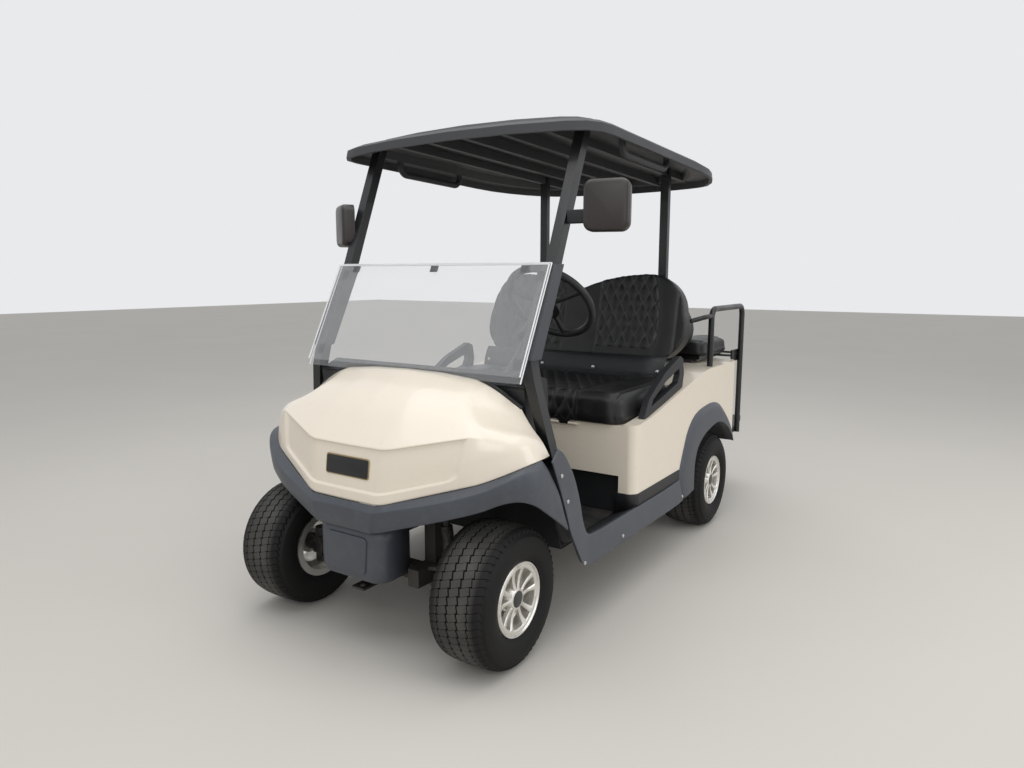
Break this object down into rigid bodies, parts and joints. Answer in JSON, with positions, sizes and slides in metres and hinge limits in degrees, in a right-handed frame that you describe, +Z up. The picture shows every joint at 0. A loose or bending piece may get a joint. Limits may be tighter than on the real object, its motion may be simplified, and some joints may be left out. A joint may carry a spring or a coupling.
{
  "type": "golf cart",
  "caption": "Electric golf cart with a forward bench, a flip-over rear bench and footplate, a roof on struts, a folding windshield and a moulded body.",
  "frame": {"origin": "floor level under the middle of the overall length and width", "axes": "the cart faces -Y, its left side is +X, +Z is up"},
  "size_m": [1.4125, 2.668, 1.7714],
  "materials": {
    "cream_panel": "glossy moulded panel",
    "grey_moulding": "textured slate grey moulding",
    "black_plastic": "textured black moulding",
    "roof_plastic": "textured dark grey moulding",
    "black_steel": "satin black powder coat",
    "frame_metal": "dull extruded beam",
    "running_gear": "dusty black castings and springs",
    "alloy_wheel": "machined and lacquered",
    "tyre_rubber": "rubber with a saw-tooth tread",
    "clear_acrylic": "clear acrylic sheet",
    "black_vinyl": "quilted vinyl",
    "floor_rubber": "ribbed rubber mat",
    "battery_case": "battery cases",
    "mirror_housing": "textured brown-black moulding"
  },
  "bodies": {
    "chassis": {"battery_block": "battery_case", "chin_cover": "grey_moulding", "dash_panel": "black_plastic", "floor_mat": "floor_rubber", "floor_pan": "black_plastic", "footplate": "black_plastic", "frame_rails": "frame_metal", "front_axle": "running_gear", "front_bumper": "grey_moulding", "front_cowl": "cream_panel", "front_struts": "black_steel", "hip_restraints": "black_plastic", "kick_panel": "black_plastic", "mirrors": "mirror_housing", "pedals": "black_steel", "rear_axle": "running_gear", "rear_body": "cream_panel", "rear_fenders": "grey_moulding", "rear_seat_base": "black_steel", "rear_springs": "running_gear", "rear_struts": "black_steel", "roof": "roof_plastic", "roof_handles": "roof_plastic", "seat_back_frame": "black_steel", "seat_board": "black_plastic", "seat_back_front": "black_vinyl", "seat_back_rear": "black_vinyl", "shock_absorbers": "running_gear", "side_rails": "black_steel", "side_sills": "grey_moulding", "steering_column": "black_plastic", "steering_rack": "running_gear", "strut_covers": "grey_moulding", "windshield": "clear_acrylic", "windshield_fittings": "black_plastic"},
    "front_seat": {"seat_cushion_front": "black_vinyl"},
    "rear_seat": {"rear_deck": "black_steel", "seat_cushion_rear": "black_vinyl"},
    "knuckle_left": {"knuckle_left": "running_gear"},
    "knuckle_right": {"knuckle_right": "running_gear"},
    "steering_wheel": {"steering_wheel": "black_plastic"},
    "wheel_front_left": {"tyre_front_left": "tyre_rubber", "rim_front_left": "alloy_wheel"},
    "wheel_front_right": {"tyre_front_right": "tyre_rubber", "rim_front_right": "alloy_wheel"},
    "wheel_rear_left": {"tyre_rear_left": "tyre_rubber", "rim_rear_left": "alloy_wheel"},
    "wheel_rear_right": {"tyre_rear_right": "tyre_rubber", "rim_rear_right": "alloy_wheel"}
  },
  "joints": [
    {"name": "steer_left", "type": "hinge", "parent": "chassis", "child": "knuckle_left", "pos_m": [0.348, -1.106, 0.226], "axis": [0, 0, 1], "range_deg": [-25, 25]},
    {"name": "steer_right", "type": "hinge", "parent": "chassis", "child": "knuckle_right", "pos_m": [-0.348, -1.106, 0.226], "axis": [0, 0, 1], "range_deg": [-25, 25]},
    {"name": "steering_turn", "type": "hinge", "parent": "chassis", "child": "steering_wheel", "pos_m": [0.28, -0.509, 1.12], "axis": [0, 0.7431, 0.6691], "range_deg": [-375, 375]},
    {"name": "front_seat_lift", "type": "hinge", "parent": "chassis", "child": "front_seat", "pos_m": [0, -0.392, 0.64], "axis": [1, 0, 0], "range_deg": [0, 60]},
    {"name": "rear_seat_flip", "type": "hinge", "parent": "chassis", "child": "rear_seat", "pos_m": [0, 1.001, 0.815], "axis": [-1, 0, 0], "range_deg": [0, 180]},
    {"name": "wheel_front_left_spin", "type": "hinge", "parent": "knuckle_left", "child": "wheel_front_left", "pos_m": [0.438, -1.106, 0.226], "axis": [1, 0, 0], "continuous": true},
    {"name": "wheel_front_right_spin", "type": "hinge", "parent": "knuckle_right", "child": "wheel_front_right", "pos_m": [-0.438, -1.106, 0.226], "axis": [1, 0, 0], "continuous": true},
    {"name": "wheel_rear_left_spin", "type": "hinge", "parent": "chassis", "child": "wheel_rear_left", "pos_m": [0.489, 0.558, 0.226], "axis": [1, 0, 0], "continuous": true},
    {"name": "wheel_rear_right_spin", "type": "hinge", "parent": "chassis", "child": "wheel_rear_right", "pos_m": [-0.489, 0.558, 0.226], "axis": [1, 0, 0], "continuous": true}
  ],
  "couplings": [
    {"joint": "steer_right", "follows": "steer_left", "ratio": 1},
    {"joint": "steering_turn", "follows": "steer_left", "ratio": 15}
  ]
}
